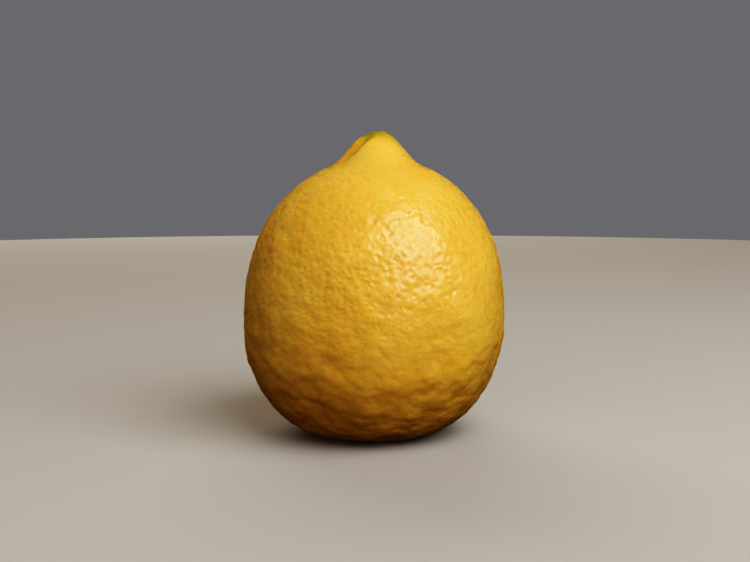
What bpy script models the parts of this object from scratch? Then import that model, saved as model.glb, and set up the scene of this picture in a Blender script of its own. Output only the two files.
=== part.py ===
"""A whole fresh lemon, standing on its stem end with the nipple up.

It is one solid. A plain body is turned from a profile, and its skin is then raised and sunk
by named reliefs: furrows on the nipple, the small scar at its tip, broad lumps, wrinkles, and
on the underside the stem cavity with the woody button that the stalk leaves behind.

Metres, +Z up. The lemon stands on z = 0, and its box is centred on the Z axis. The front,
which has the deep nipple furrow at its left, faces -Y.

The skin is described from the belly centre, the point on the axis at the widest level. Each
point lies on a ray from there, at a polar angle from straight up and a turn about the axis,
and each function below gives a distance along that ray, or a change to it.
"""

import math
from typing import NamedTuple

import bmesh
import bpy
from mathutils import Matrix, Vector


class Span(NamedTuple):
    """Where something fades in or out: it starts to change at one value and ends at the other."""

    start: float
    end: float


def polar_span(start_degrees, end_degrees):
    """A span of polar angles, given in degrees."""
    return Span(math.radians(start_degrees), math.radians(end_degrees))


# Driving dimensions of the body
BELLY_RADIUS = 0.0316
BELLY_LEVEL = 0.0274
CROWN_HEIGHT = 0.0386
CROWN_FULLNESS = 2.2
FOOT_DEPTH = 0.0319
FOOT_FULLNESS = 2.05
FOOT_FLAT_DEPTH = 0.0280
FOOT_CORNER = 14.7
LEAN = math.radians(0.8)

# The nipple, its sloping tip and the scar there
NIPPLE_HEIGHT = 0.00665
NIPPLE_SPREAD = math.radians(17.2)
SADDLE_SPREAD = math.radians(11.5)
TIP_LEVEL = 0.0465
TIP_CORNER = 53.0
TIP_SLOPE = math.tan(math.radians(7.0))
TIP_SLOPE_END = Span(0.0022, 0.0055)
SCAR_RADIUS = 0.0017
SCAR_RIM_WIDTH = 0.0005
SCAR_RIM_RISE = 0.00018
SCAR_SINK = 0.00035
SCAR_SINK_END = Span(0.0006, 0.0017)

# The furrows down the nipple's flanks
FURROW_START = polar_span(2.6, 5.7)
FURROW_END = polar_span(9.6, 17.5)
LIP_OFFSET = 1.7

# The underside
CAVITY_RADIUS = 0.0076
CAVITY_DEPTH = 0.0024
CAVITY_FOLDS = 9
CAVITY_FOLD_DEPTH = 0.00035
CAVITY_FOLD_START = Span(0.0034, 0.0057)
CAVITY_FOLD_END = Span(0.0061, 0.0087)
BUTTON_RADIUS = 0.0031
BUTTON_LOBES = 5
BUTTON_LOBE_REACH = 0.0006
BUTTON_RISE = 0.0010
BUTTON_EDGE = 0.0004

# Waves that cross the whole skin, and how strong they are from crown to foot
LUMP_WAVES = 12
LUMP_LENGTHS = Span(0.030, 0.014)
LUMP_RISE = 0.00005
LUMP_START = polar_span(5, 24)
LUMP_END = polar_span(138, 158)
WRINKLE_WAVES = 26
WRINKLE_LENGTHS = Span(0.0100, 0.0062)
WRINKLE_FLATTENING = 1.2
WRINKLE_CROWN_RISE = 0.00001
WRINKLE_FOOT_RISE = 0.00003
WRINKLE_START = polar_span(12, 40)
WRINKLE_GROWTH = polar_span(60, 135)
WRINKLE_END = polar_span(140, 157)

# How finely the skin is divided
TURN_STEPS = 88
NIPPLE_RINGS = 15
BELLY_RINGS = 34
FOOT_RINGS = 6
CAVITY_RINGS = 5
BUTTON_EDGE_RINGS = 7
BUTTON_FACE_RINGS = 2
CROWN_EDGE = math.radians(20.0)
FOOT_EDGE = math.radians(156.0)
CAVITY_MARGIN = 0.0008

PEEL_COLOUR = (0.86, 0.53, 0.045, 1.0)
PEEL_ROUGHNESS = 0.38

GOLDEN_ANGLE = math.pi * (3.0 - math.sqrt(5.0))
LEAST_COSINE = 0.05
MERGE_DISTANCE = 1e-6


class Furrow(NamedTuple):
    """A groove that runs down the nipple's flank from its turn at the tip, slanting as it goes."""

    turn: float
    slant: float
    depth: float
    width: float
    lip: float


# The first is the deep one at the front left. The others are fainter, and go round the rest.
FURROWS = (
    Furrow(turn=math.radians(-120), slant=-1.6, depth=0.00090, width=0.0012, lip=0.00012),
    Furrow(turn=math.radians(-28), slant=0.6, depth=0.00018, width=0.0016, lip=0.0),
    Furrow(turn=math.radians(35), slant=0.9, depth=0.00040, width=0.0013, lip=0.00010),
    Furrow(turn=math.radians(98), slant=-0.7, depth=0.00022, width=0.0017, lip=0.0),
    Furrow(turn=math.radians(164), slant=0.5, depth=0.00045, width=0.0012, lip=0.00012),
)


class Wave(NamedTuple):
    """A plane wave through space, which leaves straight ripples where it crosses the skin."""

    direction: Vector
    rate: float
    phase: float


def fade_in(span, value):
    """0 before the span, 1 after it, and a smooth cubic between."""
    share = min(1.0, max(0.0, (value - span.start) / (span.end - span.start)))
    return share * share * (3.0 - 2.0 * share)


def fade_out(span, value):
    """1 before the span and 0 after it."""
    return 1.0 - fade_in(span, value)


def bell(offset, width):
    """1 at no offset, and a normal curve's fall to the sides."""
    return math.exp(-((offset / width) ** 2))


def soft_least(first, second, corner):
    """The smaller of two lengths, with a round corner where they meet: tighter as corner grows."""
    return (first**-corner + second**-corner) ** (-1.0 / corner)


def superellipse(polar, height, fullness):
    """Distance to a half body of the belly's radius and this height, at a polar angle."""
    across = abs(math.sin(polar)) / BELLY_RADIUS
    along = abs(math.cos(polar)) / height
    return (across**fullness + along**fullness) ** (-1.0 / fullness)


def nipple_share(polar):
    """The nipple's height as a share of its full height: half a wave, which ends at its spread."""
    return 0.5 * (1.0 + math.cos(math.pi * min(1.0, polar / NIPPLE_SPREAD)))


def profile_distance(polar):
    """Distance to the plain turned body: crown, nipple and flattened foot."""
    rise = math.cos(polar)
    if rise > 0.0:
        crown = superellipse(polar, CROWN_HEIGHT, CROWN_FULLNESS)
        nipple = NIPPLE_HEIGHT * nipple_share(polar)
        return soft_least(crown + nipple, TIP_LEVEL / max(rise, LEAST_COSINE), TIP_CORNER)
    foot = superellipse(polar, FOOT_DEPTH, FOOT_FULLNESS)
    return soft_least(foot, FOOT_FLAT_DEPTH / max(-rise, LEAST_COSINE), FOOT_CORNER)


def wave_set(count, lengths, flattening=1.0):
    """Waves of even spread: directions on a golden-angle spiral, and lengths across a span.

    Flattening above 1 shortens them along the axis, so that their ripples lie round the fruit.
    """
    waves = []
    for index in range(count):
        share = (index + 0.5) / count
        height = 1.0 - 2.0 * share
        around = index * GOLDEN_ANGLE
        radius = math.sqrt(1.0 - height * height)
        direction = Vector((radius * math.cos(around), radius * math.sin(around), height * flattening))
        length = lengths.start * (lengths.end / lengths.start) ** share
        waves.append(Wave(direction, math.tau / length, GOLDEN_ANGLE * index * index))
    return waves


LUMPS = wave_set(LUMP_WAVES, LUMP_LENGTHS)
WRINKLES = wave_set(WRINKLE_WAVES, WRINKLE_LENGTHS, WRINKLE_FLATTENING)


def rippling(waves, point):
    """The sum of the waves at a point, each from -1 to 1."""
    return sum(math.sin(wave.rate * wave.direction.dot(point) + wave.phase) for wave in waves)


def lump_relief(polar, point):
    """Broad lumps, faded out on the nipple and where the lemon stands."""
    return LUMP_RISE * fade_in(LUMP_START, polar) * fade_out(LUMP_END, polar) * rippling(LUMPS, point)


def wrinkle_relief(polar, point):
    """Finer wrinkles, which grow from a smooth neck to a coarse foot, and end where it stands."""
    growth = fade_in(WRINKLE_GROWTH, polar)
    rise = WRINKLE_CROWN_RISE + (WRINKLE_FOOT_RISE - WRINKLE_CROWN_RISE) * growth
    rise *= fade_in(WRINKLE_START, polar) * fade_out(WRINKLE_END, polar)
    return rise * rippling(WRINKLES, point)


def saddle_relief(polar, turn):
    """Fills the nipple's foot at the front and back, where it joins more softly than at the sides."""
    softer = bell(polar, SADDLE_SPREAD) - nipple_share(polar)
    return NIPPLE_HEIGHT * softer * math.sin(turn) ** 2


def furrow_relief(polar, turn, from_axis):
    """Grooves down the nipple, each with a low lip on its left side as seen from outside."""
    relief = 0.0
    for furrow in FURROWS:
        path = furrow.turn + furrow.slant * polar
        aside = math.remainder(turn - path, math.tau) * from_axis
        relief -= furrow.depth * bell(aside, furrow.width)
        relief += furrow.lip * bell(aside + LIP_OFFSET * furrow.width, furrow.width)
    return relief * fade_in(FURROW_START, polar) * fade_out(FURROW_END, polar)


def tip_relief(across, from_axis):
    """The tip, which slopes down to the left, and its scar: a sunken disc in a thin raised rim."""
    slope = TIP_SLOPE * across * fade_out(TIP_SLOPE_END, from_axis)
    rim = SCAR_RIM_RISE * bell(from_axis - SCAR_RADIUS, SCAR_RIM_WIDTH)
    return slope + rim - SCAR_SINK * fade_out(SCAR_SINK_END, from_axis)


def stem_relief(turn, from_axis):
    """The stem cavity with its radial folds, and the five-lobed button in the middle of it."""
    hollow = 0.5 * (1.0 + math.cos(math.pi * min(1.0, from_axis / CAVITY_RADIUS)))
    folds = 0.5 * (1.0 - math.cos(CAVITY_FOLDS * turn))
    folds *= fade_in(CAVITY_FOLD_START, from_axis) * fade_out(CAVITY_FOLD_END, from_axis)
    edge = BUTTON_RADIUS + BUTTON_LOBE_REACH * math.cos(BUTTON_LOBES * turn)
    button = fade_out(Span(edge - BUTTON_EDGE, edge + BUTTON_EDGE), from_axis)
    return BUTTON_RISE * button - CAVITY_DEPTH * hollow - CAVITY_FOLD_DEPTH * folds


def foot_polar(from_axis):
    """The polar angle at which the flat foot has this distance from the axis."""
    return math.pi - math.atan(from_axis / FOOT_FLAT_DEPTH)


def ring_angles():
    """Polar angles of the rings: closest at the button's edge, and close at nipple and foot."""
    cavity_edge = foot_polar(CAVITY_RADIUS + CAVITY_MARGIN)
    button_outer = foot_polar(BUTTON_RADIUS + BUTTON_LOBE_REACH + BUTTON_EDGE)
    button_inner = foot_polar(BUTTON_RADIUS - BUTTON_LOBE_REACH - BUTTON_EDGE)
    zones = (
        (Span(0.0, CROWN_EDGE), NIPPLE_RINGS),
        (Span(CROWN_EDGE, FOOT_EDGE), BELLY_RINGS),
        (Span(FOOT_EDGE, cavity_edge), FOOT_RINGS),
        (Span(cavity_edge, button_outer), CAVITY_RINGS),
        (Span(button_outer, button_inner), BUTTON_EDGE_RINGS),
        (Span(button_inner, math.pi), BUTTON_FACE_RINGS),
    )
    angles = []
    for span, count in zones:
        pitch = (span.end - span.start) / count
        angles += [span.start + pitch * step for step in range(count)]
    return [*angles, math.pi]


def turned_body():
    """The plain body as a bmesh about the belly centre, spun from its profile."""
    body = bmesh.new()
    profile = []
    for polar in ring_angles():
        distance = profile_distance(polar)
        across = 0.0 if polar in (0.0, math.pi) else distance * math.sin(polar)
        profile.append(body.verts.new((across, 0.0, distance * math.cos(polar))))
    edges = [body.edges.new(pair) for pair in zip(profile, profile[1:])]
    bmesh.ops.spin(
        body,
        geom=profile + edges,
        cent=(0.0, 0.0, 0.0),
        axis=(0.0, 0.0, 1.0),
        angle=math.tau,
        steps=TURN_STEPS,
        use_merge=True,
    )
    bmesh.ops.remove_doubles(body, verts=body.verts, dist=MERGE_DISTANCE)
    bmesh.ops.recalc_face_normals(body, faces=body.faces)
    return body


def raise_relief(body):
    """Moves each point of the skin along its own ray by all the reliefs."""
    straight_up = Vector((0.0, 0.0, 1.0))
    for vertex in body.verts:
        polar = vertex.co.angle(straight_up)
        turn = math.atan2(vertex.co.y, vertex.co.x)
        from_axis = math.hypot(vertex.co.x, vertex.co.y)
        relief = lump_relief(polar, vertex.co) + wrinkle_relief(polar, vertex.co)
        relief += saddle_relief(polar, turn)
        if polar < CROWN_EDGE:
            relief += furrow_relief(polar, turn, from_axis) + tip_relief(vertex.co.x, from_axis)
        if polar > FOOT_EDGE:
            relief += stem_relief(turn, from_axis)
        vertex.co *= 1.0 + relief / vertex.co.length


def lean_and_stand(body):
    """Leans the axis a little to the right, and stands the foot flat on z = 0."""
    lean = Matrix.Shear("XY", 4, (math.tan(LEAN), 0.0))
    bmesh.ops.transform(body, matrix=lean, verts=body.verts)
    for vertex in body.verts:
        vertex.co.z = max(vertex.co.z + BELLY_LEVEL, 0.0)


def centre_on_axis(body):
    """Shifts the body so that its box is centred on the Z axis."""
    for axis in (0, 1):
        places = [vertex.co[axis] for vertex in body.verts]
        shift = Vector((0.0, 0.0, 0.0))
        shift[axis] = -0.5 * (min(places) + max(places))
        bmesh.ops.translate(body, vec=shift, verts=body.verts)


def peel_material():
    """The waxy yellow peel as one plain finish."""
    material = bpy.data.materials.new("peel")
    material.use_nodes = True
    shader = material.node_tree.nodes["Principled BSDF"]
    shader.inputs["Base Color"].default_value = PEEL_COLOUR
    shader.inputs["Roughness"].default_value = PEEL_ROUGHNESS
    shader.inputs["Metallic"].default_value = 0.0
    material.diffuse_color = PEEL_COLOUR
    return material


def build_lemon():
    """The whole lemon as one object, shaded smooth."""
    body = turned_body()
    raise_relief(body)
    lean_and_stand(body)
    centre_on_axis(body)
    bmesh.ops.triangulate(body, faces=body.faces)
    mesh = bpy.data.meshes.new("lemon")
    body.to_mesh(mesh)
    body.free()
    mesh.materials.append(peel_material())
    mesh.shade_smooth()
    lemon = bpy.data.objects.new("lemon", mesh)
    bpy.context.scene.collection.objects.link(lemon)


def clear_scene():
    """Removes every object that the scene starts with."""
    for old in list(bpy.data.objects):
        bpy.data.objects.remove(old)


clear_scene()
build_lemon()
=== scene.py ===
"""The looks of a fresh lemon that stands on its stem end with the nipple up.

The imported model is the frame. Two pieces dress it: the peel, a fine surface over the model's
own form, and the woody button in the stem cavity underneath. Metres, +Z up, front towards -Y.

The peel is described from the belly centre, the point on the axis at the widest level. Each
point lies on a ray from there, at a polar angle from straight up and a turn about the axis.
A relief is a change to the distance along that ray.
"""

from __future__ import annotations

import logging
import math
from collections.abc import Iterator
from dataclasses import dataclass, field
from enum import Enum

import bpy
import numpy as np
from mathutils import Euler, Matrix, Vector

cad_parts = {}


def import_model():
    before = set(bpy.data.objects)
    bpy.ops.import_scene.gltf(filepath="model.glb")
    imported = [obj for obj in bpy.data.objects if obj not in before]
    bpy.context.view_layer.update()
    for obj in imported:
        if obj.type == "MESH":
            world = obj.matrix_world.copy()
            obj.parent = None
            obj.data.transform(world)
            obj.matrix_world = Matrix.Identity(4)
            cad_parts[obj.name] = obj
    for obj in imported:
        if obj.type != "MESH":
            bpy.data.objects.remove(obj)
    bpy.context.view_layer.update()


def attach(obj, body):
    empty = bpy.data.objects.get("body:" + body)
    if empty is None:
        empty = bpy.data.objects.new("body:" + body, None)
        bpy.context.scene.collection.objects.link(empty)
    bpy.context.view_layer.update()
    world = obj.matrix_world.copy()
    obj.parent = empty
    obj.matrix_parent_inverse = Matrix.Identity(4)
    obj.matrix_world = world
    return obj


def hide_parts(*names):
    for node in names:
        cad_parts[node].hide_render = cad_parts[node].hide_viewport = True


LOG = logging.getLogger("lemon")
GOLDEN_ANGLE = math.pi * (3.0 - math.sqrt(5.0))
PHOTO_WIDTH, PHOTO_HEIGHT = 750, 562
LAID_PLACES = "laid places"

# How a cell's coordinates are mixed into its number
AXIS_PRIMES = (73856093, 19349663, 83492791)
SALT_PRIME = 40503
MIXING_FACTOR, MIXING_STEP = 69069, 12345
EARLY_SHIFT, LATE_SHIFT = 13, 11
EARLY_BITS, LATE_BITS = 0xFFFFFF, 0xFFFF

# The sockets of a Mix node that blends colours, and the tone curve of all colours together
MIX_SHARE, MIX_FIRST, MIX_SECOND, MIX_RESULT = 0, 6, 7, 2
ALL_COLOURS = 3

Triple = tuple[float, float, float]
Colour = tuple[float, float, float, float]


class Body(Enum):
    """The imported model's bodies."""

    ROOT = "root"


class Node(Enum):
    """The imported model's nodes."""

    LEMON = "lemon"


class Slot(Enum):
    """The record's material slots."""

    PEEL = "peel"


class Mask(Enum):
    """Values from 0 to 1 that a mesh carries at its points, for its material to read."""

    # Painted shade on the deep furrow and the nipple's left flank, which face away from the light
    PAINTED_FURROW_SHADE = "furrow"
    TIP = "tip"
    # Painted shade: darker and more orange towards the foot, standing in for the shade on the underside
    PAINTED_FOOT_SHADE = "foot"
    RIM = "rim"
    PEBBLED = "pebbled"
    # Dimple depth, which also sets where painted shade darkens the pits
    DIMPLED = "dimpled"


@dataclass(frozen=True)
class Span:
    """Where something fades in or out, from the value where it starts to where it ends."""

    start: float
    end: float

    def fade_in(self, values: np.ndarray) -> np.ndarray:
        """0 before the span, 1 after it, and the cubic 3s^2 - 2s^3 of the share s between."""
        share = np.clip((values - self.start) / (self.end - self.start), 0.0, 1.0)
        return share * share * (3.0 - 2.0 * share)

    def fade_out(self, values: np.ndarray) -> np.ndarray:
        """1 before the span and 0 after it."""
        return 1.0 - self.fade_in(values)


RISING = Span(0.0, 1.0)
FALLING = Span(1.0, 0.0)


def polar_span(start_degrees: float, end_degrees: float) -> Span:
    """A span of polar angles, given in degrees."""
    return Span(math.radians(start_degrees), math.radians(end_degrees))


def bell(offset: np.ndarray, width: float) -> np.ndarray:
    """1 at no offset, falling to the sides as exp(-(offset / width)^2)."""
    return np.exp(-((offset / width) ** 2))


def half_wave(offset: np.ndarray, reach: float) -> np.ndarray:
    """1 at no offset, falling as half a cosine wave to 0 at the reach and beyond."""
    return 0.5 * (1.0 + np.cos(math.pi * np.minimum(1.0, offset / reach)))


def waves_round(turn: np.ndarray, count: int) -> np.ndarray:
    """0.5 (1 - cos(count turn)): from 0 to 1 and back, count times in a full turn."""
    return 0.5 * (1.0 - np.cos(count * turn))


def blend(first: float, second: float, share: np.ndarray) -> np.ndarray:
    """The first value where the share is 0, the second where it is 1, evenly between."""
    return first * (1.0 - share) + second * share


def soft_least(first: np.ndarray, second: np.ndarray, corner: float) -> np.ndarray:
    """The smaller of two lengths, (a^-n + b^-n)^(-1/n): the larger n, the tighter the corner."""
    return (first**-corner + second**-corner) ** (-1.0 / corner)


@dataclass(frozen=True)
class Ripples:
    """Plane waves through space, which leave ripples where they cross the skin.

    Directions lie on a golden-angle spiral over the sphere, and wavelengths run evenly, in
    their logarithm, from the longest to the shortest. Flattening above 1 shortens the waves
    along the axis, so that their ripples lie round the fruit.
    """

    count: int
    longest: float
    shortest: float
    flattening: float = 1.0
    start: int = 0

    def height(self, points: np.ndarray) -> np.ndarray:
        """The sum of all the waves, each sin(rate * direction . point + phase).

        Args:
            points: Places in metres, of shape (..., 3).

        Returns:
            The sum at each place, of shape (...).
        """
        index = np.arange(self.count)
        share = (index + 0.5) / self.count
        axial = 1.0 - 2.0 * share
        across = np.sqrt(1.0 - axial**2)
        around = (index + self.start) * GOLDEN_ANGLE
        direction = np.stack([across * np.cos(around), across * np.sin(around), axial * self.flattening])
        rate = math.tau / (self.longest * (self.shortest / self.longest) ** share)
        phase = GOLDEN_ANGLE * (index + self.start) * index
        return np.sin(points @ (direction * rate) + phase).sum(axis=-1)

    def even_height(self, points: np.ndarray) -> np.ndarray:
        """The same sum, scaled to a root mean square of about 1."""
        return self.height(points) * math.sqrt(2.0 / self.count)


@dataclass(frozen=True)
class Furrow:
    """A groove that runs down the nipple's flank from its turn at the tip, slanting as it goes."""

    turn: float
    slant: float
    depth: float
    width: float
    lip: float
    lip_offset: float = 1.7

    def aside(self, polar: np.ndarray, turn: np.ndarray, from_axis: np.ndarray) -> np.ndarray:
        """Distance along the skin from the groove's middle: turn beyond its path times radius."""
        beyond = turn - (self.turn + self.slant * polar)
        return (np.mod(beyond + math.pi, math.tau) - math.pi) * from_axis

    def relief(self, polar: np.ndarray, turn: np.ndarray, from_axis: np.ndarray) -> np.ndarray:
        """A bell-shaped groove, with a low bell-shaped lip on its left side.

        Args:
            polar: Polar angles from straight up.
            turn: Turns about the axis.
            from_axis: Distances from the axis.

        Returns:
            The relief at each place.
        """
        aside = self.aside(polar, turn, from_axis)
        lip = self.lip * bell(aside + self.lip_offset * self.width, self.width)
        return lip - self.depth * bell(aside, self.width)


def nipple_furrows() -> tuple[Furrow, ...]:
    """The deep furrow at the front left, and the fainter ones round the rest.

    Returns:
        The furrows, the deep one first.
    """
    return (
        Furrow(turn=math.radians(-120), slant=-1.6, depth=0.00090, width=0.0012, lip=0.00034),
        Furrow(turn=math.radians(-28), slant=0.6, depth=0.00018, width=0.0016, lip=0.0),
        Furrow(turn=math.radians(35), slant=0.9, depth=0.00040, width=0.0013, lip=0.00010),
        Furrow(turn=math.radians(98), slant=-0.7, depth=0.00022, width=0.0017, lip=0.0),
        Furrow(turn=math.radians(164), slant=0.5, depth=0.00045, width=0.0012, lip=0.00012),
    )


@dataclass
class LemonForm:
    """The lemon's own form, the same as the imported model's, as a function of polar and turn."""

    belly_radius: float = 0.0316
    belly_level: float = 0.0274
    crown_height: float = 0.0386
    crown_fullness: float = 2.2
    foot_depth: float = 0.0319
    foot_fullness: float = 2.05
    foot_flat_depth: float = 0.0280
    foot_corner: float = 14.7
    lean: float = math.radians(0.8)

    nipple_height: float = 0.00665
    nipple_spread: float = math.radians(17.2)
    saddle_spread: float = math.radians(11.5)
    tip_level: float = 0.0465
    tip_corner: float = 53.0
    tip_slope: float = math.tan(math.radians(7.0))
    tip_slope_end: Span = Span(0.0022, 0.0055)
    scar_radius: float = 0.0017
    scar_rim_width: float = 0.0005
    scar_rim_rise: float = 0.00018
    scar_sink: float = 0.00035
    scar_sink_end: Span = Span(0.0006, 0.0017)

    furrows: tuple[Furrow, ...] = field(default_factory=nipple_furrows)
    furrow_start: Span = polar_span(2.6, 5.7)
    furrow_end: Span = polar_span(9.6, 17.5)

    cavity_radius: float = 0.0076
    cavity_depth: float = 0.0024
    cavity_folds: int = 9
    cavity_fold_depth: float = 0.00035
    cavity_fold_start: Span = Span(0.0034, 0.0057)
    cavity_fold_end: Span = Span(0.0061, 0.0087)

    lumps: Ripples = Ripples(count=12, longest=0.030, shortest=0.014)
    lump_rise: float = 0.00005
    lump_start: Span = polar_span(5, 24)
    lump_end: Span = polar_span(138, 158)
    wrinkles: Ripples = Ripples(count=26, longest=0.0100, shortest=0.0062, flattening=1.2)
    wrinkle_crown_rise: float = 0.00001
    wrinkle_foot_rise: float = 0.00003
    wrinkle_start: Span = polar_span(12, 40)
    wrinkle_growth: Span = polar_span(60, 135)
    wrinkle_end: Span = polar_span(140, 157)

    least_cosine: float = 0.05
    centring_steps: int = 240

    def superellipse(self, polar: np.ndarray, height: float, fullness: float) -> np.ndarray:
        """Distance to (across / radius)^n + (along / height)^n = 1 at a polar angle.

        Args:
            polar: Polar angles from straight up.
            height: The curve's reach along the axis.
            fullness: The power n: an ellipse at 2, and squarer above it.

        Returns:
            The distance at each angle.
        """
        across = np.abs(np.sin(polar)) / self.belly_radius
        along = np.abs(np.cos(polar)) / height
        return (across**fullness + along**fullness) ** (-1.0 / fullness)

    def nipple_share(self, polar: np.ndarray) -> np.ndarray:
        """The nipple's height as a share of its full height, half a cosine wave to its spread."""
        return half_wave(polar, self.nipple_spread)

    def saddle_relief(self, polar: np.ndarray, turn: np.ndarray) -> np.ndarray:
        """At the front and back the nipple falls as a bell instead, by the square of sin(turn)."""
        softer = bell(polar, self.saddle_spread) - self.nipple_share(polar)
        return self.nipple_height * softer * np.sin(turn) ** 2

    def profile(self, polar: np.ndarray) -> np.ndarray:
        """Distance to the plain turned body.

        Above the belly it is a superellipse plus half a cosine wave for the nipple, cut
        softly by a level plane at the tip. Below, it is a superellipse cut softly by the
        plane of the flat foot.

        Args:
            polar: Polar angles from straight up, in radians.

        Returns:
            The distance from the belly centre at each angle.
        """
        rise = np.cos(polar)
        nipple = self.nipple_height * self.nipple_share(polar)
        crown = self.superellipse(polar, self.crown_height, self.crown_fullness) + nipple
        tip = self.tip_level / np.maximum(rise, self.least_cosine)
        foot = self.superellipse(polar, self.foot_depth, self.foot_fullness)
        flat = self.foot_flat_depth / np.maximum(-rise, self.least_cosine)
        upper = soft_least(crown, tip, self.tip_corner)
        return np.where(rise > 0.0, upper, soft_least(foot, flat, self.foot_corner))

    def broad_relief(self, polar: np.ndarray, points: np.ndarray) -> np.ndarray:
        """Lumps all over and wrinkles that grow towards the foot, both faded at the two ends.

        Args:
            polar: Polar angles from straight up.
            points: The plain body's places.

        Returns:
            The relief at each place.
        """
        lumps = self.lump_rise * self.lump_start.fade_in(polar) * self.lump_end.fade_out(polar)
        growth = self.wrinkle_growth.fade_in(polar)
        wrinkles = blend(self.wrinkle_crown_rise, self.wrinkle_foot_rise, growth)
        wrinkles = wrinkles * self.wrinkle_start.fade_in(polar) * self.wrinkle_end.fade_out(polar)
        return lumps * self.lumps.height(points) + wrinkles * self.wrinkles.height(points)

    def furrow_fade(self, polar: np.ndarray) -> np.ndarray:
        """1 where the furrows are at full depth, and 0 above and below them."""
        return self.furrow_start.fade_in(polar) * self.furrow_end.fade_out(polar)

    def nipple_relief(self, polar: np.ndarray, turn: np.ndarray, plain: np.ndarray) -> np.ndarray:
        """Furrows, the tip's slope down to the left, and the scar: a sunk disc in a raised rim.

        Args:
            polar: Polar angles from straight up.
            turn: Turns about the axis.
            plain: The plain body's places.

        Returns:
            The relief at each place, which is none below the belly.
        """
        from_axis = np.hypot(plain[..., 0], plain[..., 1])
        furrows = sum(furrow.relief(polar, turn, from_axis) for furrow in self.furrows)
        slope = self.tip_slope * plain[..., 0] * self.tip_slope_end.fade_out(from_axis)
        rim = self.scar_rim_rise * bell(from_axis - self.scar_radius, self.scar_rim_width)
        sink = self.scar_sink * self.scar_sink_end.fade_out(from_axis)
        relief = furrows * self.furrow_fade(polar) + slope + rim - sink
        return np.where(np.cos(polar) > 0.0, relief, 0.0)

    def stem_relief(self, polar: np.ndarray, turn: np.ndarray, plain: np.ndarray) -> np.ndarray:
        """The stem cavity: half a cosine wave deep, with radial folds round its rim.

        Args:
            polar: Polar angles from straight up.
            turn: Turns about the axis.
            plain: The plain body's places.

        Returns:
            The relief at each place, which is none above the belly.
        """
        from_axis = np.hypot(plain[..., 0], plain[..., 1])
        hollow = self.cavity_depth * half_wave(from_axis, self.cavity_radius)
        folds = self.cavity_fold_depth * waves_round(turn, self.cavity_folds)
        folds = folds * self.cavity_fold_start.fade_in(from_axis) * self.cavity_fold_end.fade_out(from_axis)
        return np.where(np.cos(polar) < 0.0, -hollow - folds, 0.0)

    def stand(self, about_belly: np.ndarray) -> np.ndarray:
        """Leans the axis to the right by x + z tan(lean), and stands the foot flat on z = 0."""
        x, y, z = np.moveaxis(about_belly, -1, 0)
        return np.stack([x + z * math.tan(self.lean), y, np.maximum(z + self.belly_level, 0.0)], axis=-1)

    def plain_points(self, polar: np.ndarray, turn: np.ndarray) -> np.ndarray:
        """Points of the plain turned body about the belly centre.

        Args:
            polar: Polar angles from straight up.
            turn: Turns about the axis, of the same shape.

        Returns:
            The places in metres, with a last axis of 3.
        """
        distance = self.profile(polar)
        across = distance * np.sin(polar)
        return np.stack([across * np.cos(turn), across * np.sin(turn), distance * np.cos(polar)], axis=-1)

    def off_centre_skin(self, polar: np.ndarray, turn: np.ndarray, lift: np.ndarray) -> np.ndarray:
        """The skin before it is shifted to the middle of its box.

        Args:
            polar: Polar angles from straight up.
            turn: Turns about the axis.
            lift: Any further relief.

        Returns:
            The places in metres, with a last axis of 3.
        """
        plain = self.plain_points(polar, turn)
        relief = self.broad_relief(polar, plain) + self.nipple_relief(polar, turn, plain)
        relief = relief + self.saddle_relief(polar, turn) + self.stem_relief(polar, turn, plain) + lift
        scale = 1.0 + relief / np.linalg.norm(plain, axis=-1)
        return self.stand(plain * scale[..., None])

    def centring(self) -> np.ndarray:
        """The level shift that puts the middle of the form's box on the Z axis.

        Returns:
            The shift in metres.
        """
        polar, turn = polar_grid(self.centring_steps, 2 * self.centring_steps)
        skin = self.off_centre_skin(polar, turn, np.zeros_like(polar)).reshape(-1, 3)
        middle = -0.5 * (skin.min(axis=0) + skin.max(axis=0))
        return np.array([middle[0], middle[1], 0.0])

    def skin(self, polar: np.ndarray, turn: np.ndarray, lift: np.ndarray) -> np.ndarray:
        """Points of the skin in the model's frame.

        Args:
            polar: Polar angles from straight up.
            turn: Turns about the axis, of the same shape.
            lift: Any further relief, of the same shape.

        Returns:
            The places in metres, with a last axis of 3.
        """
        return self.off_centre_skin(polar, turn, lift) + self.centring()


def polar_grid(rows: int, columns: int, crowding: float = 0.0) -> tuple[np.ndarray, np.ndarray]:
    """Polar angles and turns of a grid over the whole fruit, its two poles left out.

    The polar angle is pi (s - crowding sin(2 pi s) / 2 pi), where s runs evenly from 0 to 1.

    Args:
        rows: How many rings, the poles not counted.
        columns: How many points each ring has.
        crowding: How much closer the rings are at the poles, from 0 to 1.

    Returns:
        The polar angles and the turns, each of shape (rows, columns).
    """
    share = np.arange(1, rows + 1) / (rows + 1)
    polar = math.pi * (share - crowding * np.sin(math.tau * share) / math.tau)
    turn = math.tau * np.arange(columns) / columns - math.pi
    return np.meshgrid(polar, turn, indexing="ij")


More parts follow.
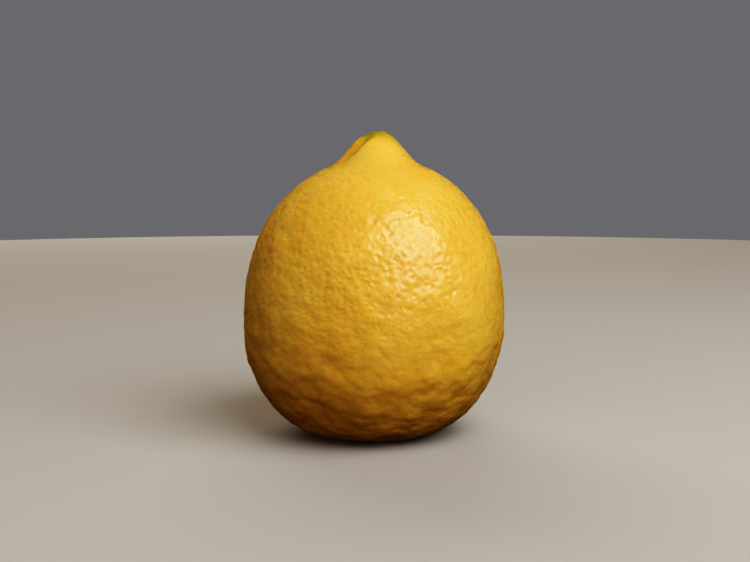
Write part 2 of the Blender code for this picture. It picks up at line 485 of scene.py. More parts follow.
def closed_mesh(name: str, grid: np.ndarray, first: np.ndarray, last: np.ndarray) -> bpy.types.Mesh:
    """A closed mesh over a grid that wraps round, with a point at each end.

    Args:
        name: The mesh's name.
        grid: Places of shape (rows, columns, 3). Rings run anticlockwise about the line from
            last to first, so that faces point out.
        first: The place of the point before the first ring.
        last: The place of the point after the last ring.

    Returns:
        The mesh, shaded smooth.
    """
    rows, columns = grid.shape[:2]
    ring = np.arange(rows * columns).reshape(rows, columns)
    right = np.roll(ring, -1, axis=1)
    quads = np.stack([ring[:-1], ring[1:], right[1:], right[:-1]], axis=-1).reshape(-1, 4)
    top, bottom = rows * columns, rows * columns + 1
    cap = np.stack([np.full(columns, top), ring[0], right[0]], axis=-1)
    base = np.stack([np.full(columns, bottom), right[-1], ring[-1]], axis=-1)
    corners = np.concatenate([quads.ravel(), cap.ravel(), base.ravel()])
    sizes = np.concatenate([np.full(len(quads), 4), np.full(2 * columns, 3)])
    places = np.concatenate([grid.reshape(-1, 3), [first, last]])
    mesh = bpy.data.meshes.new(name)
    mesh.vertices.add(len(places))
    mesh.vertices.foreach_set("co", places.astype(np.float32).ravel())
    mesh.loops.add(len(corners))
    mesh.loops.foreach_set("vertex_index", corners.astype(np.int32))
    mesh.polygons.add(len(sizes))
    mesh.polygons.foreach_set("loop_start", (np.cumsum(sizes) - sizes).astype(np.int32))
    mesh.update(calc_edges=True)
    mesh.validate()
    mesh.shade_smooth()
    return mesh


def carry(mesh: bpy.types.Mesh, name: str, grid: np.ndarray) -> None:
    """Stores a value or a place at each point of a closed grid mesh, for its material to read.

    Args:
        mesh: A mesh from closed_mesh.
        name: The name to store them under.
        grid: Values of shape (rows, columns), or places of shape (rows, columns, 3). The end
            points take their ring's mean.
    """
    kind, setting = ("FLOAT_VECTOR", "vector") if grid.ndim == 3 else ("FLOAT", "value")
    ends = np.stack([grid[0].mean(axis=0), grid[-1].mean(axis=0)])
    values = np.concatenate([grid.reshape(-1, *grid.shape[2:]), ends])
    layer = mesh.attributes.new(name, kind, "POINT")
    layer.data.foreach_set(setting, values.astype(np.float32).ravel())


def add_object(name: str, mesh: bpy.types.Mesh) -> bpy.types.Object:
    """Adds an object that shows a mesh to the scene, at the origin.

    Args:
        name: The object's name.
        mesh: The mesh.

    Returns:
        The object.
    """
    made = bpy.data.objects.new(name, mesh)
    bpy.context.scene.collection.objects.link(made)
    return made


def cell_number(cells: np.ndarray, salt: int) -> np.ndarray:
    """A repeatable number from 0 to 1 for each whole-number cell, by mixing its coordinates.

    Args:
        cells: Whole numbers of shape (..., 3).
        salt: A different salt gives other numbers.

    Returns:
        The numbers, of shape (...).
    """
    axes = np.moveaxis(cells.astype(np.int64), -1, 0)
    x, y, z = (axis * prime for axis, prime in zip(axes, AXIS_PRIMES))
    mixed = x ^ y ^ z ^ (salt * SALT_PRIME)
    mixed = ((mixed ^ (mixed >> EARLY_SHIFT)) & EARLY_BITS) * MIXING_FACTOR + MIXING_STEP
    mixed = (mixed ^ (mixed >> LATE_SHIFT)) & LATE_BITS
    return mixed / LATE_BITS


@dataclass(frozen=True)
class Cells:
    """Middles scattered through space, one at a random place in each cube of a lattice."""

    pitch: float
    salt: int

    def squared_distances(self, points: np.ndarray) -> Iterator[np.ndarray]:
        """The squared distances from each place to the middles in the 27 cubes about it.

        Args:
            points: Places in metres, of shape (..., 3).

        Yields:
            For each cube, the squares of shape (...), where the pitch counts as 1.
        """
        scaled = points / self.pitch
        home = np.floor(scaled)
        for step in np.ndindex(3, 3, 3):
            cube = home + np.array(step) - 1
            place = np.stack([cell_number(cube, self.salt + axis) for axis in range(3)], axis=-1)
            yield ((cube + place - scaled) ** 2).sum(axis=-1)

    def distance(self, points: np.ndarray) -> np.ndarray:
        """How far the nearest middle is from each place, as a share of the pitch."""
        return np.sqrt(np.minimum.reduce(list(self.squared_distances(points))))

    def pits(self, points: np.ndarray, radius: float) -> np.ndarray:
        """Soft pits that run into each other: 1 - product of (1 - exp(-(d / radius)^2))."""
        squares = self.squared_distances(points)
        return 1.0 - math.prod(1.0 - np.exp(-squared / radius**2) for squared in squares)


@dataclass
class Pebbling:
    """The peel's fine relief: dimples, cobbles, and creases across them.

    Cobbles are the cells of scattered middles. Each falls from its top as the distance to its
    middle to a power, so that it is flat on top and steep at its edge. Dimples are soft pits.
    """

    cobbles: Cells = Cells(pitch=0.0036, salt=3)
    cobble_crown_rise: float = 0.000060
    cobble_foot_rise: float = 0.000320
    small_cobbles: Cells = Cells(pitch=0.0017, salt=11)
    small_crown_rise: float = 0.000060
    small_foot_rise: float = 0.000065
    steepness: float = 2.1
    creases: Ripples = Ripples(count=60, longest=0.0058, shortest=0.0032, start=5)
    crease_width: float = 0.25
    crease_crown_rise: float = 0.000030
    crease_foot_rise: float = 0.000050
    swirl: Ripples = Ripples(count=20, longest=0.0075, shortest=0.0032, start=31)
    swirl_reach: float = 0.00025
    swirl_offsets: Triple = (0.0, 0.05, 0.11)
    squeeze: float = 0.7
    squeeze_level: float = 0.002
    squeeze_reach: float = 0.008
    start: Span = polar_span(15, 45)
    growth: Span = polar_span(48, 118)
    end: Span = polar_span(150, 160)
    neck_share: float = 0.15
    dimples: Cells = Cells(pitch=0.0020, salt=23)
    dimple_radius: float = 0.37
    dimple_depth: float = 0.00016
    dimple_end: Span = polar_span(60, 105)
    dimple_foot_share: float = 0.30

    def strength(self, polar: np.ndarray) -> np.ndarray:
        """How strong the fine relief is: a little on the neck, full below, none on the foot."""
        full = self.start.fade_in(polar)
        return (self.neck_share + (1.0 - self.neck_share) * full) * self.end.fade_out(polar)

    def dimpling(self, polar: np.ndarray) -> np.ndarray:
        """How strong the dimples are: as the fine relief, but weaker below the belly."""
        full = self.dimple_end.fade_out(polar)
        return self.strength(polar) * (self.dimple_foot_share + (1.0 - self.dimple_foot_share) * full)

    def swirled(self, points: np.ndarray) -> np.ndarray:
        """Places shifted along all three axes by ripples, so that the cells are irregular."""
        shifts = [self.swirl.even_height(points + offset) for offset in self.swirl_offsets]
        return points + self.swirl_reach * np.stack(shifts, axis=-1)

    def squeezed(self, points: np.ndarray) -> np.ndarray:
        """Places whose height runs faster below the belly, so that cells there lie level.

        The height z becomes z + squeeze / 2 * (z - level - sqrt((z - level)^2 + reach^2)).

        Args:
            points: Places about the belly centre.

        Returns:
            The squeezed places.
        """
        x, y, z = np.moveaxis(points, -1, 0)
        below = (z - self.squeeze_level) - np.hypot(z - self.squeeze_level, self.squeeze_reach)
        return np.stack([x, y, z + 0.5 * self.squeeze * below], axis=-1)

    def cobbled(self, cells: Cells, points: np.ndarray) -> np.ndarray:
        """Minus the distance to the nearest middle, to the power of the steepness."""
        fall = cells.distance(points) ** self.steepness
        return fall.mean() - fall

    def dimpled(self, polar: np.ndarray, points: np.ndarray) -> np.ndarray:
        """How deep in a dimple each place is, from 0 to at most 1."""
        pits = self.dimples.pits(self.squeezed(self.swirled(points)), self.dimple_radius)
        return pits * self.dimpling(polar)

    def relief(self, polar: np.ndarray, points: np.ndarray) -> np.ndarray:
        """The fine relief.

        Args:
            polar: Polar angles, of shape (...).
            points: The plain body's places, of shape (..., 3).

        Returns:
            The relief in metres, of shape (...).
        """
        growth = self.growth.fade_in(polar)
        squeezed = self.squeezed(self.swirled(points))
        cobble_rise = blend(self.cobble_crown_rise, self.cobble_foot_rise, growth)
        small_rise = blend(self.small_crown_rise, self.small_foot_rise, growth)
        relief = cobble_rise * self.cobbled(self.cobbles, squeezed)
        relief = relief + small_rise * self.cobbled(self.small_cobbles, squeezed)
        relief = relief + self.crease_relief(growth, points)
        return relief * self.strength(polar) - self.dimple_depth * self.dimpled(polar, points)

    def crease_relief(self, growth: np.ndarray, points: np.ndarray) -> np.ndarray:
        """Domes with soft creases: rise * (sqrt(n^2 + width^2) - mean) of the even ripples n.

        Args:
            growth: How far the relief has grown towards the foot, from 0 to 1.
            points: The plain body's places.

        Returns:
            The relief in metres.
        """
        dome = np.hypot(self.creases.even_height(points), self.crease_width)
        rise = blend(self.crease_crown_rise, self.crease_foot_rise, growth)
        return rise * (dome - dome.mean())


class Shading:
    """Adds nodes to one node tree."""

    def __init__(self, tree: bpy.types.NodeTree) -> None:
        """Takes the tree that the nodes go into."""
        self.tree = tree

    def add(self, kind: str, inputs: dict[str, object] | None = None, **settings: object) -> bpy.types.Node:
        """Adds one node.

        Args:
            kind: The node's type name in Blender.
            inputs: Values for its input sockets by name. A socket as a value is linked.
            settings: Values for the node's own properties.

        Returns:
            The node.
        """
        node = self.tree.nodes.new(kind)
        for name, value in settings.items():
            setattr(node, name, value)
        for name, value in (inputs or {}).items():
            self.feed(node.inputs[name], value)
        return node

    def feed(self, socket: bpy.types.NodeSocket, value: object) -> None:
        """Sets an input socket, or links it where the value is a socket.

        Args:
            socket: The input socket.
            value: A constant, or the output socket that feeds it.
        """
        if isinstance(value, bpy.types.NodeSocket):
            self.tree.links.new(value, socket)
        else:
            socket.default_value = value

    def mask(self, mask: Mask) -> bpy.types.NodeSocket:
        """The value that the mesh carries under a mask's name."""
        return self.add("ShaderNodeAttribute", attribute_name=mask.value).outputs["Fac"]

    def place(self) -> bpy.types.NodeSocket:
        """Object coordinates, in metres."""
        return self.add("ShaderNodeTexCoord").outputs["Object"]

    def mix(self, share: object, first: object, second: object) -> bpy.types.NodeSocket:
        """A blend of two colours.

        Args:
            share: How much of the second colour there is, from 0 to 1.
            first: The colour where the share is 0.
            second: The colour where the share is 1.

        Returns:
            The blended colour.
        """
        node = self.add("ShaderNodeMix", data_type="RGBA")
        for index, value in ((MIX_SHARE, share), (MIX_FIRST, first), (MIX_SECOND, second)):
            self.feed(node.inputs[index], value)
        return node.outputs[MIX_RESULT]

    def operate(self, kind: str, operation: str, first: object, second: object) -> bpy.types.NodeSocket:
        """The result of a node that works on two values.

        Args:
            kind: The node's type name in Blender.
            operation: What it does with them.
            first: The first value.
            second: The second value.

        Returns:
            The result.
        """
        node = self.add(kind, operation=operation)
        self.feed(node.inputs[0], first)
        self.feed(node.inputs[1], second)
        return node.outputs[0]

    def math(self, operation: str, first: object, second: object) -> bpy.types.NodeSocket:
        """The result of an operation on two numbers."""
        return self.operate("ShaderNodeMath", operation, first, second)

    def vector(self, operation: str, first: object, second: object) -> bpy.types.NodeSocket:
        """The result of an operation on two vectors."""
        return self.operate("ShaderNodeVectorMath", operation, first, second)

    def remap(self, value: object, old: Span, new: Span) -> bpy.types.NodeSocket:
        """A value carried smoothly from one range to another, and held at its ends.

        Args:
            value: The value.
            old: The range that it is in.
            new: The range that it is carried to.

        Returns:
            The new value.
        """
        inputs = {
            "Value": value,
            "From Min": old.start,
            "From Max": old.end,
            "To Min": new.start,
            "To Max": new.end,
        }
        node = self.add("ShaderNodeMapRange", inputs, interpolation_type="SMOOTHSTEP")
        return node.outputs["Result"]

    def mottled(self, mottle: bpy.types.NodeTree, scale: float, fade: Span) -> bpy.types.NodeSocket:
        """The mottle group's mask: 0 where its noise is below the span, and 1 where it is above."""
        inputs = {"Place": self.place(), "Scale": scale, "Low": fade.start, "High": fade.end}
        return self.add("ShaderNodeGroup", inputs, node_tree=mottle).outputs["Mask"]

    def bump(self, height: object, distance: float, **under: object) -> bpy.types.NodeSocket:
        """The normal of a height that is measured in the given distance.

        Args:
            height: The height.
            distance: How many metres a height of 1 is.
            under: The normal that it goes over, as Normal, where there is one.

        Returns:
            The normal.
        """
        inputs = {"Height": height, "Distance": distance, **under}
        return self.add("ShaderNodeBump", inputs).outputs["Normal"]


def mottle_group(detail: float = 3.0, roughness: float = 0.55) -> bpy.types.NodeTree:
    """A shader group that gives soft uneven patches, as one mask from 0 to 1.

    Args:
        detail: How many finer layers its noise has.
        roughness: How strong each layer is against the one before.

    Returns:
        The group, with inputs Place, Scale, Low and High and the output Mask.
    """
    tree = bpy.data.node_groups.new("mottle", "ShaderNodeTree")
    tree.interface.new_socket("Place", in_out="INPUT", socket_type="NodeSocketVector")
    for name in ("Scale", "Low", "High"):
        tree.interface.new_socket(name, in_out="INPUT", socket_type="NodeSocketFloat")
    tree.interface.new_socket("Mask", in_out="OUTPUT", socket_type="NodeSocketFloat")
    shading = Shading(tree)
    given = shading.add("NodeGroupInput").outputs
    noise = shading.add(
        "ShaderNodeTexNoise",
        {"Vector": given["Place"], "Scale": given["Scale"], "Detail": detail, "Roughness": roughness},
    )
    ranged = shading.add(
        "ShaderNodeMapRange",
        {"Value": noise.outputs["Fac"], "From Min": given["Low"], "From Max": given["High"]},
        interpolation_type="SMOOTHSTEP",
    )
    shading.add("NodeGroupOutput", {"Mask": ranged.outputs["Result"]})
    return tree


def new_material(name: str) -> tuple[bpy.types.Material, Shading, bpy.types.Node]:
    """A new material with nodes.

    Args:
        name: The material's name.

    Returns:
        The material, a way to add nodes to it, and its Principled shader.
    """
    material = bpy.data.materials.new(name)
    material.use_nodes = True
    return material, Shading(material.node_tree), material.node_tree.nodes["Principled BSDF"]


@dataclass(frozen=True)
class PeelFinish:
    """Waxy lemon peel: warm yellow, with painted shade that makes it deeper amber in its pits, on its deep
    furrow and towards its foot, and a little green at the very tip.

    A scale is the number of patches, cells or waves in a metre. A share is how much of a
    colour or a relief is laid over what is there.
    """

    yellow: Colour = (0.84, 0.53, 0.105, 1.0)
    pale_yellow: Colour = (0.87, 0.58, 0.135, 1.0)
    patch_scale: float = 70.0
    patch_fade: Span = Span(0.35, 0.68)
    # Painted shade: deeper amber towards the foot, standing in for the shade on the underside
    painted_foot_shade: Colour = (0.72, 0.37, 0.025, 1.0)
    foot_share: float = 0.75
    # Painted shade: darker amber deep in the dimples, where shade falls in the pits
    painted_dimple_shade: Colour = (0.70, 0.33, 0.010, 1.0)
    painted_dimple_shade_share: float = 0.20
    # Painted shade: darker amber along the deep furrow and the nipple's left flank, which face away from
    # the light
    painted_furrow_shade: Colour = (0.60, 0.29, 0.016, 1.0)
    painted_furrow_shade_share: float = 0.7
    tip_green: Colour = (0.42, 0.33, 0.012, 1.0)
    tip_share: float = 1.0

    pore_brown: Colour = (0.20, 0.09, 0.008, 1.0)
    pore_scale: float = 520.0
    pore_edge: Span = Span(0.05, 0.13)
    pore_least_draw: float = 0.8
    pore_share: float = 0.55

    gloss: Span = Span(0.22, 0.36)
    gloss_scale: float = 320.0
    gloss_fade: Span = Span(0.3, 0.7)
    refraction: float = 1.57

    pit_scale: float = 660.0
    pit_radius: float = 0.44
    pit_smoothness: float = 0.10
    pit_depth: float = 0.000135
    waver_scale: float = 700.0
    waver_detail: float = 1.5
    waver_middle: float = 0.5
    waver_reach: float = 0.0006
    wrinkle_scale: float = 330.0
    wrinkle_detail: float = 2.0
    wrinkle_gain: float = 1.4
    wrinkle_share: float = 0.16

    gland_scale: float = 1050.0
    gland_radius: float = 0.6
    wax_scale: float = 1400.0
    wax_detail: float = 1.5
    grain_depth: float = 0.000016

    flesh_glow: float = 0.9
    glow_depth: float = 0.0032
    glow_colours: Triple = (1.0, 0.60, 0.15)

    def base_colour(self, shading: Shading, mottle: bpy.types.NodeTree) -> bpy.types.NodeSocket:
        """Yellow with pale patches, painted shade in the dimples, on the deep furrow and towards the foot,
        green at the tip, pores.

        Args:
            shading: Adds the nodes.
            mottle: The shader group of soft patches.

        Returns:
            The colour.
        """
        patches = shading.mottled(mottle, self.patch_scale, self.patch_fade)
        colour = shading.mix(patches, self.yellow, self.pale_yellow)
        # The foot, dimple and furrow layers are painted shade. The tip's green is the peel's own colour.
        painted_shades_and_tip_green = (
            (Mask.PAINTED_FOOT_SHADE, self.foot_share, self.painted_foot_shade),
            (Mask.DIMPLED, self.painted_dimple_shade_share, self.painted_dimple_shade),
            (Mask.PAINTED_FURROW_SHADE, self.painted_furrow_shade_share, self.painted_furrow_shade),
            (Mask.TIP, self.tip_share, self.tip_green),
        )
        for mask, share, tint in painted_shades_and_tip_green:
            colour = shading.mix(shading.math("MULTIPLY", shading.mask(mask), share), colour, tint)
        return shading.mix(self.pores(shading), colour, self.pore_brown)

    def pores(self, shading: Shading) -> bpy.types.NodeSocket:
        """Sparse dark dots: the middles of those Voronoi cells that drew a high number.

        Args:
            shading: Adds the nodes.

        Returns:
            How much of a pore's colour there is, from 0 to its share.
        """
        cells = shading.add("ShaderNodeTexVoronoi", {"Vector": shading.place(), "Scale": self.pore_scale})
        dot = shading.remap(cells.outputs["Distance"], self.pore_edge, FALLING)
        drawn = shading.add("ShaderNodeSeparateColor", {"Color": cells.outputs["Color"]}).outputs["Red"]
        chosen = shading.math("GREATER_THAN", drawn, self.pore_least_draw)
        return shading.math("MULTIPLY", shading.math("MULTIPLY", dot, chosen), self.pore_share)

    def roughness(self, shading: Shading, mottle: bpy.types.NodeTree) -> bpy.types.NodeSocket:
        """Gloss that wavers over the wax."""
        waver = shading.mottled(mottle, self.gloss_scale, self.gloss_fade)
        return shading.remap(waver, RISING, self.gloss)

    def laid(self, shading: Shading) -> bpy.types.NodeSocket:
        """The laid places that the mesh carries."""
        return shading.add("ShaderNodeAttribute", attribute_name=LAID_PLACES).outputs["Vector"]

    def pits(self, shading: Shading) -> bpy.types.NodeSocket:
        """How deep in a fine pit each place is: exp(-(d / radius)^2) of the distance to a middle.

        The middles are those of smooth Voronoi cells over the laid places, wavered by noise.

        Args:
            shading: Adds the nodes.

        Returns:
            The depth, from 0 to 1.
        """
        laid = self.laid(shading)
        waver = {"Vector": laid, "Scale": self.waver_scale, "Detail": self.waver_detail}
        noise = shading.add("ShaderNodeTexNoise", waver).outputs["Color"]
        centred = shading.vector("SUBTRACT", noise, (self.waver_middle,) * 3)
        shift = shading.vector("MULTIPLY", centred, (self.waver_reach,) * 3)
        places = shading.vector("ADD", laid, shift)
        inputs = {"Vector": places, "Scale": self.pit_scale, "Smoothness": self.pit_smoothness}
        distance = shading.add("ShaderNodeTexVoronoi", inputs, feature="SMOOTH_F1").outputs["Distance"]
        squared = shading.math("MULTIPLY", distance, distance)
        power = shading.math("MULTIPLY", squared, -1.0 / self.pit_radius**2)
        return shading.math("EXPONENT", power, 0.0)

    def pitted_normal(self, shading: Shading) -> bpy.types.NodeSocket:
        """The normal of fine pits and ridged wrinkles, which fade out where the dimples do.

        Args:
            shading: Adds the nodes.

        Returns:
            The normal.
        """
        waves = {
            "Vector": self.laid(shading),
            "Scale": self.wrinkle_scale,
            "Detail": self.wrinkle_detail,
            "Gain": self.wrinkle_gain,
        }
        ridges = shading.add("ShaderNodeTexNoise", waves, noise_type="RIDGED_MULTIFRACTAL").outputs["Fac"]
        wrinkles = shading.math("MULTIPLY", ridges, self.wrinkle_share)
        uneven = shading.math("SUBTRACT", wrinkles, self.pits(shading))
        height = shading.math("MULTIPLY", uneven, shading.mask(Mask.PEBBLED))
        return shading.bump(height, self.pit_depth)

    def normal(self, shading: Shading) -> bpy.types.NodeSocket:
        """The pitted normal with oil glands, which sink at their middles, and waxy grain over it.

        Args:
            shading: Adds the nodes.

        Returns:
            The normal.
        """
        place = shading.place()
        cells = shading.add("ShaderNodeTexVoronoi", {"Vector": place, "Scale": self.gland_scale})
        glands = shading.remap(cells.outputs["Distance"], Span(0.0, self.gland_radius), RISING)
        grain = {"Vector": place, "Scale": self.wax_scale, "Detail": self.wax_detail}
        wax = shading.add("ShaderNodeTexNoise", grain).outputs["Fac"]
        height = shading.math("ADD", glands, wax)
        return shading.bump(height, self.grain_depth, Normal=self.pitted_normal(shading))

    def material(self, mottle: bpy.types.NodeTree) -> bpy.types.Material:
        """The peel's material.

        Args:
            mottle: The shader group of soft patches.

        Returns:
            The material.
        """
        material, shading, shader = new_material("waxy lemon peel")
        shading.feed(shader.inputs["Base Color"], self.base_colour(shading, mottle))
        shading.feed(shader.inputs["Roughness"], self.roughness(shading, mottle))
        shading.feed(shader.inputs["Normal"], self.normal(shading))
        shader.inputs["Subsurface Weight"].default_value = self.flesh_glow
        shader.inputs["Subsurface Radius"].default_value = self.glow_colours
        shader.inputs["Subsurface Scale"].default_value = self.glow_depth
        shader.inputs["IOR"].default_value = self.refraction
        return material


@dataclass(frozen=True)
class WoodyFinish:
    """The dry stem button: brown with olive patches, and dark at its edge."""

    brown: Colour = (0.16, 0.105, 0.035, 1.0)
    olive: Colour = (0.20, 0.19, 0.05, 1.0)
    dark_edge: Colour = (0.055, 0.035, 0.014, 1.0)
    roughness: float = 0.75
    patch_scale: float = 900.0
    patch_fade: Span = Span(0.35, 0.65)
    grain_scale: float = 2600.0
    grain_detail: float = 5.0
    grain_depth: float = 0.00008

    def material(self, mottle: bpy.types.NodeTree) -> bpy.types.Material:
        """The button's material.

        Args:
            mottle: The shader group of soft patches.

        Returns:
            The material.
        """
        material, shading, shader = new_material("dry stem wood")
        patches = shading.mottled(mottle, self.patch_scale, self.patch_fade)
        colour = shading.mix(patches, self.brown, self.olive)
        colour = shading.mix(shading.mask(Mask.RIM), colour, self.dark_edge)
        shading.feed(shader.inputs["Base Color"], colour)
        grain = {"Vector": shading.place(), "Scale": self.grain_scale, "Detail": self.grain_detail}
        noise = shading.add("ShaderNodeTexNoise", grain).outputs["Fac"]
        shading.feed(shader.inputs["Normal"], shading.bump(noise, self.grain_depth))
        shader.inputs["Roughness"].default_value = self.roughness
        return material


@dataclass(frozen=True)
class PlainFinish:
    """An even, dull finish for the floor."""

    colour: Colour = (0.46, 0.45, 0.44, 1.0)
    roughness: float = 0.85

    def material(self) -> bpy.types.Material:
        """The floor's material.

        Returns:
            The material.
        """
        material, _, shader = new_material("plain floor")
        shader.inputs["Base Color"].default_value = self.colour
        shader.inputs["Roughness"].default_value = self.roughness
        return material


@dataclass
class Peel:
    """The lemon's whole skin as one closed fine surface over the model's form."""

    form: LemonForm
    pebbling: Pebbling = field(default_factory=Pebbling)
    finish: PeelFinish = field(default_factory=PeelFinish)
    rows: int = 234
    columns: int = 424
    crowding: float = 0.05
    tip_green_end: Span = polar_span(3.0, 8.0)
    # Where the painted shade of the underside fades in
    painted_foot_shade_fade: Span = polar_span(70, 150)
    furrow_painted_shade_in: Span = Span(-2.6, -0.9)
    furrow_painted_shade_out: Span = Span(-0.5, 0.9)

    def masks(self, polar: np.ndarray, turn: np.ndarray, plain: np.ndarray) -> dict[Mask, np.ndarray]:
        """Where the material changes.

        Args:
            polar: Polar angles of the grid.
            turn: Turns of the grid.
            plain: The plain body's places.

        Returns:
            A grid of values from 0 to 1 for each mask.
        """
        from_axis = np.hypot(plain[..., 0], plain[..., 1])
        deep = self.form.furrows[0]
        aside = deep.aside(polar, turn, from_axis) / deep.width
        # Painted shade across the deep furrow and out over the left flank beyond it
        furrow = self.furrow_painted_shade_in.fade_in(aside) * self.furrow_painted_shade_out.fade_out(aside)
        return {
            Mask.PEBBLED: self.pebbling.dimpling(polar),
            Mask.DIMPLED: self.pebbling.dimpled(polar, plain),
            Mask.PAINTED_FURROW_SHADE: furrow * self.form.furrow_fade(polar),
            Mask.TIP: self.tip_green_end.fade_out(polar),
            Mask.PAINTED_FOOT_SHADE: self.painted_foot_shade_fade.fade_in(polar),
        }

    def build(self, mottle: bpy.types.NodeTree) -> bpy.types.Object:
        """Builds and dresses the peel.

        Args:
            mottle: The shader group of soft patches.

        Returns:
            The peel, riding on the lemon's body in place of its node.
        """
        polar, turn = polar_grid(self.rows, self.columns, self.crowding)
        plain = self.form.plain_points(polar, turn)
        lift = self.pebbling.relief(polar, plain)
        poles = self.form.skin(np.array([0.0, math.pi]), np.zeros(2), np.zeros(2))
        mesh = closed_mesh("peel", self.form.skin(polar, turn, lift), poles[0], poles[1])
        for mask, values in self.masks(polar, turn, plain).items():
            carry(mesh, mask.value, values)
        carry(mesh, LAID_PLACES, self.pebbling.squeezed(plain))
        mesh.materials.append(self.finish.material(mottle))
        return dress(add_object("peel", mesh))


@dataclass
class StemButton:
    """The five-lobed woody button that the stalk leaves in the stem cavity."""

    form: LemonForm
    finish: WoodyFinish = field(default_factory=WoodyFinish)
    radius: float = 0.0031
    lobes: int = 5
    lobe_reach: float = 0.0006
    rise: float = 0.0010
    root: float = 0.0005
    scar_radius: float = 0.0011
    scar_rise: float = 0.00022
    scar_width_share: float = 0.3
    groove_depth: float = 0.00022
    ribs: int = 35
    rib_rise: float = 0.00004
    edge_fall: float = 0.55
    edge_sharpness: int = 6
    dark_edge: Span = Span(0.72, 1.0)
    skirt: tuple[float, float] = (0.5, 1.03)
    rows: int = 30
    columns: int = 140

    def outline(self, turn: np.ndarray) -> np.ndarray:
        """The button's edge: radius + reach cos(lobes turn)."""
        return self.radius + self.lobe_reach * np.cos(self.lobes * turn)

    def height(self, outwards: np.ndarray, turn: np.ndarray) -> np.ndarray:
        """How far the face stands off the cavity's floor.

        It is the rise, a ring at the broken stalk's edge, grooves between the lobes, and fine
        ribs. Past the outline it drops to the root, which is sunk in the peel.

        Args:
            outwards: Distance from the axis as a share of the outline.
            turn: Turns about the axis.

        Returns:
            The height at each place.
        """
        from_axis = outwards * self.outline(turn)
        inside = np.clip(outwards, 0.0, 1.0)
        scar_width = self.scar_width_share * self.scar_radius
        scar = self.scar_rise * bell(from_axis - self.scar_radius, scar_width)
        grooves = self.groove_depth * waves_round(turn, self.lobes) * inside
        ribs = self.rib_rise * np.cos(self.ribs * turn) * inside
        rounding = np.sqrt(1.0 - self.edge_fall * inside**self.edge_sharpness)
        face = (self.rise + scar - grooves + ribs) * rounding
        return np.where(outwards > 1.0, -self.root, face)

    def build(self, mottle: bpy.types.NodeTree) -> bpy.types.Object:
        """Builds and dresses the button: its skirt, sunk in the peel, and then its face.

        Args:
            mottle: The shader group of soft patches.

        Returns:
            The button, riding on the lemon's body in place of its node.
        """
        face = np.linspace(1.0, 0.0, self.rows, endpoint=False)
        outwards, turn = np.meshgrid(
            np.concatenate([self.skirt, face]),
            math.tau * np.arange(self.columns) / self.columns,
            indexing="ij",
        )
        height = self.height(outwards, turn)
        height[: len(self.skirt)] = -self.root
        polar = math.pi - np.arctan(outwards * self.outline(turn) / self.form.foot_flat_depth)
        grid = self.form.skin(polar, turn, height)
        ends = self.form.skin(np.full(2, math.pi), np.zeros(2), np.array([-self.root, self.rise]))
        mesh = closed_mesh("stem_button", grid, ends[0], ends[1])
        carry(mesh, Mask.RIM.value, self.dark_edge.fade_in(outwards))
        mesh.materials.append(self.finish.material(mottle))
        return dress(add_object("stem_button", mesh))


def dress(piece: bpy.types.Object) -> bpy.types.Object:
    """Puts a piece on the lemon's body, in place of its node.

    Args:
        piece: The piece.

    Returns:
        The same piece.
    """
    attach(piece, Body.ROOT.value)
    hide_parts(Node.LEMON.value)
    LOG.info("%s: %d points, %d faces", piece.name, len(piece.data.vertices), len(piece.data.polygons))
    return piece


@dataclass(frozen=True)
class DimLight:
    """A wide dim light: where it stands, its power in watts, and whether it faces the lemon."""

    name: str
    place: Triple
    power: float
    aimed: bool = True


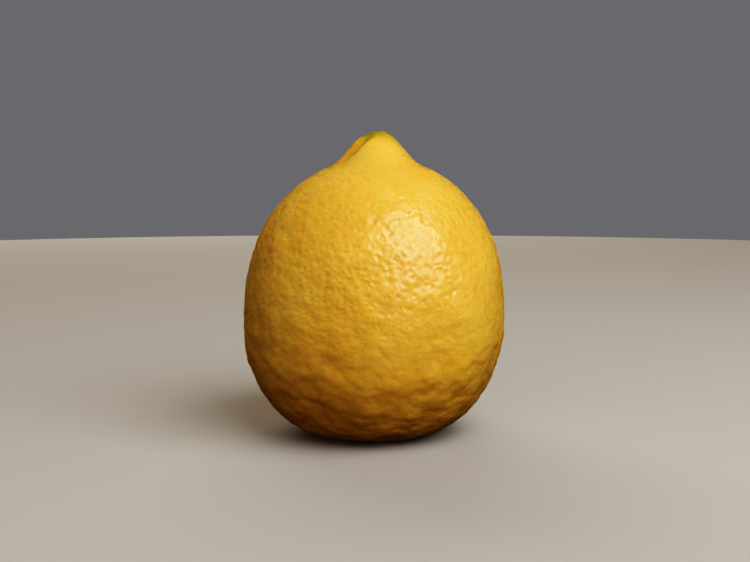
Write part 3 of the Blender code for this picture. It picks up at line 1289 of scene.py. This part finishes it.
@dataclass
class Studio:
    """The floor, the soft light and the camera."""

    form: LemonForm
    floor_radius: float = 0.8
    floor_corners: int = 96
    floor_drop: float = 0.00005
    floor_finish: PlainFinish = field(default_factory=PlainFinish)
    backdrop: Colour = (0.19, 0.19, 0.20, 1.0)
    fill: Colour = (0.044, 0.024, 0.010, 1.0)
    key_direction: Triple = (0.56, -0.60, 0.76)
    key_distance: float = 0.75
    key_size: float = 0.70
    key_power: float = 6.6
    key_colour: Triple = (1.0, 0.98, 0.94)
    dim_size: float = 1.7
    dim_colour: Triple = (1.0, 0.91, 0.78)
    dim_lights: tuple[DimLight, ...] = (
        DimLight("front", (-0.40, -1.18, 0.46), power=7.2),
        DimLight("top", (-0.30, 0.75, 1.40), power=0.5, aimed=False),
        DimLight("rear", (-0.36, 1.47, 0.60), power=27.0),
    )
    tone_white: float = 2.0
    tone: tuple[tuple[float, float], ...] = (
        (0.020, 0.010),
        (0.040, 0.033),
        (0.075, 0.096),
        (0.125, 0.215),
        (0.200, 0.400),
        (0.300, 0.608),
        (0.500, 0.910),
    )
    lens: float = 50.0
    sensor: float = 36.0
    elevation: float = math.radians(8.0)
    distance: float = 0.254
    belly_pixel: tuple[float, float] = (373.8, 318.5)
    nearest: float = 0.01

    def floor(self) -> bpy.types.Object:
        """A wide pale disc just under the lemon, which throws no light back at the peel.

        Returns:
            The floor.
        """
        turn = math.tau * np.arange(self.floor_corners) / self.floor_corners
        level = np.full(self.floor_corners, -self.floor_drop)
        rim = np.stack([self.floor_radius * np.cos(turn), self.floor_radius * np.sin(turn), level], axis=-1)
        mesh = bpy.data.meshes.new("floor")
        mesh.from_pydata(rim.tolist(), [], [list(range(self.floor_corners))])
        mesh.materials.append(self.floor_finish.material())
        made = add_object("floor", mesh)
        made.visible_glossy = False
        made.visible_diffuse = False
        return made

    def surroundings(self) -> None:
        """A grey backdrop, and a dim warm fill light from all round."""
        world = bpy.data.worlds.new("studio")
        world.use_nodes = True
        shading = Shading(world.node_tree)
        seen = shading.add("ShaderNodeLightPath").outputs["Is Camera Ray"]
        background = world.node_tree.nodes["Background"]
        shading.feed(background.inputs["Color"], shading.mix(seen, self.fill, self.backdrop))
        bpy.context.scene.world = world

    def tone_curve(self) -> None:
        """A camera's tone curve: shades go deeper, and highlights roll off."""
        view = bpy.context.scene.view_settings
        view.view_transform = "Standard"
        view.use_curve_mapping = True
        view.curve_mapping.white_level = (self.tone_white,) * 3
        for light, shown in self.tone:
            view.curve_mapping.curves[ALL_COLOURS].points.new(light, shown)
        view.curve_mapping.update()

    def area_light(
        self, name: str, place: Vector, size: float, colour: Triple, power: float
    ) -> bpy.types.Object:
        """A square area light that faces straight down.

        Args:
            name: The light's name.
            place: Where it stands.
            size: The length of its side.
            colour: Its colour.
            power: Its power in watts.

        Returns:
            The light.
        """
        data = bpy.data.lights.new(name, "AREA")
        data.shape = "SQUARE"
        data.size = size
        data.color = colour
        data.energy = power
        light = bpy.data.objects.new(name, data)
        light.location = place
        bpy.context.scene.collection.objects.link(light)
        return light

    def key_light(self) -> None:
        """A softbox, high on the right in front."""
        direction = Vector(self.key_direction).normalized()
        place = self.belly_centre() + direction * self.key_distance
        light = self.area_light("softbox", place, self.key_size, self.key_colour, self.key_power)
        light.rotation_euler = direction.to_track_quat("Z", "Y").to_euler()

    def dim_light(self, dim: DimLight) -> None:
        """A wide light that leaves no gloss spot.

        Args:
            dim: Its place, its power, and whether it is aimed. Otherwise it faces straight down.
        """
        place = Vector(dim.place)
        light = self.area_light(dim.name, place, self.dim_size, self.dim_colour, dim.power)
        light.visible_glossy = False
        if dim.aimed:
            towards = place - self.belly_centre()
            light.rotation_euler = towards.to_track_quat("Z", "Y").to_euler()

    def belly_centre(self) -> Vector:
        """The belly centre in the model's frame, in metres."""
        shift = self.form.centring()
        return Vector((shift[0], shift[1], self.form.belly_level))

    def camera(self) -> None:
        """A camera in front, a little above, turned so that the belly centre is at its pixel."""
        focal = PHOTO_WIDTH * self.lens / self.sensor
        right = math.atan((PHOTO_WIDTH / 2 - self.belly_pixel[0]) / focal)
        up = math.atan((self.belly_pixel[1] - PHOTO_HEIGHT / 2) / focal)
        back = Vector((0.0, -math.cos(self.elevation), math.sin(self.elevation)))
        data = bpy.data.cameras.new("view")
        data.lens = self.lens
        data.sensor_width = self.sensor
        data.clip_start = self.nearest
        camera = bpy.data.objects.new("view", data)
        camera.location = self.belly_centre() + back * self.distance
        camera.rotation_euler = Euler((math.pi / 2 - self.elevation + up, 0.0, -right))
        bpy.context.scene.collection.objects.link(camera)
        bpy.context.scene.camera = camera

    def build(self) -> None:
        """Builds all of the studio."""
        self.floor()
        self.surroundings()
        self.tone_curve()
        self.key_light()
        for dim in self.dim_lights:
            self.dim_light(dim)
        self.camera()


def corners(box: tuple[Vector, Vector]) -> list[list[float]]:
    """A box's two corners as plain lists."""
    return [list(corner) for corner in box]


def main() -> None:
    """Builds the lemon's pieces in order, then the studio, and notes the sizes."""
    logging.basicConfig(level=logging.INFO, format="%(name)s: %(message)s")
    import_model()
    form = LemonForm()
    mottle = mottle_group()
    Peel(form).build(mottle)
    StemButton(form).build(mottle)
    Studio(form).build()
    bpy.context.view_layer.update()


if __name__ == "__main__":
    main()
